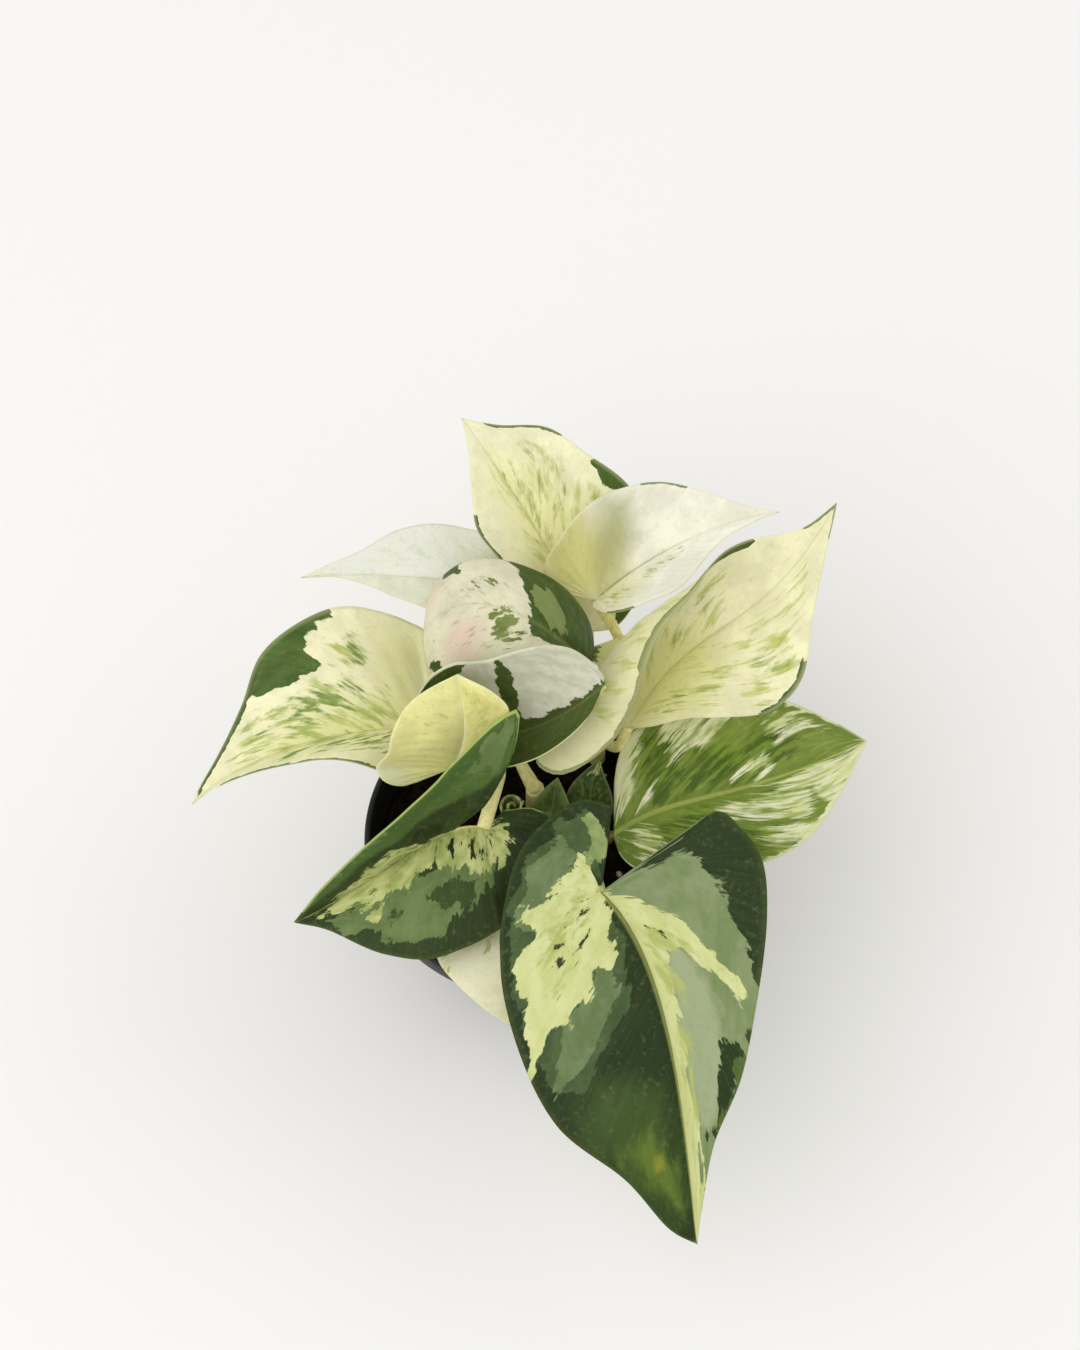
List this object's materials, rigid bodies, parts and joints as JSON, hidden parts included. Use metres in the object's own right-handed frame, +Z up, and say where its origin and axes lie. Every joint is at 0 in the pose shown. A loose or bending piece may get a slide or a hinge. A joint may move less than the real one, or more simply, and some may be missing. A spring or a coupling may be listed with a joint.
{
  "type": "potted pothos",
  "caption": "Young marbled pothos with broad, cupped and rolled heart-shaped leaves in cream and green, growing in a round black nursery pot.",
  "frame": {"origin": "middle of the underside of the pot", "axes": "+Z up out of the pot, +Y towards the back of the plant, -Y towards the largest hanging leaf"},
  "size_m": [0.2084, 0.2359, 0.1503],
  "materials": {
    "pot": "satin",
    "soil": "matte",
    "stem": "satin",
    "stem_brown": "satin",
    "leaf_front": "satin",
    "leaf_front_left": "satin",
    "leaf_left": "satin",
    "leaf_back_left": "satin",
    "leaf_back": "satin",
    "leaf_funnel": "satin",
    "leaf_right_back": "satin",
    "leaf_right": "satin",
    "leaf_dome": "satin",
    "leaf_centre": "satin",
    "leaf_cup": "satin",
    "leaf_low_front": "satin",
    "leaf_low_right": "satin",
    "leaf_small_mid": "satin",
    "leaf_small_dark": "satin",
    "leaf_rolled": "satin"
  },
  "bodies": {
    "root": {"pot": "pot", "soil": "soil", "stem_front": "stem", "stem_right": "stem_brown", "stem_front_left": "stem", "stem_left": "stem", "stem_middle": "stem", "stem_back": "stem", "stem_back_right": "stem", "stem_low_right": "stem", "stem_small": "stem", "stem_small_dark": "stem", "leaf_front": "leaf_front", "leaf_front_left": "leaf_front_left", "leaf_left": "leaf_left", "leaf_back_left": "leaf_back_left", "leaf_back": "leaf_back", "leaf_funnel": "leaf_funnel", "leaf_right_back": "leaf_right_back", "leaf_right": "leaf_right", "leaf_dome": "leaf_dome", "leaf_centre": "leaf_centre", "leaf_cup": "leaf_cup", "leaf_low_front": "leaf_low_front", "leaf_low_right": "leaf_low_right", "leaf_small_mid": "leaf_small_mid", "leaf_small_dark": "leaf_small_dark", "leaf_rolled": "leaf_rolled"}
  },
  "joints": []
}
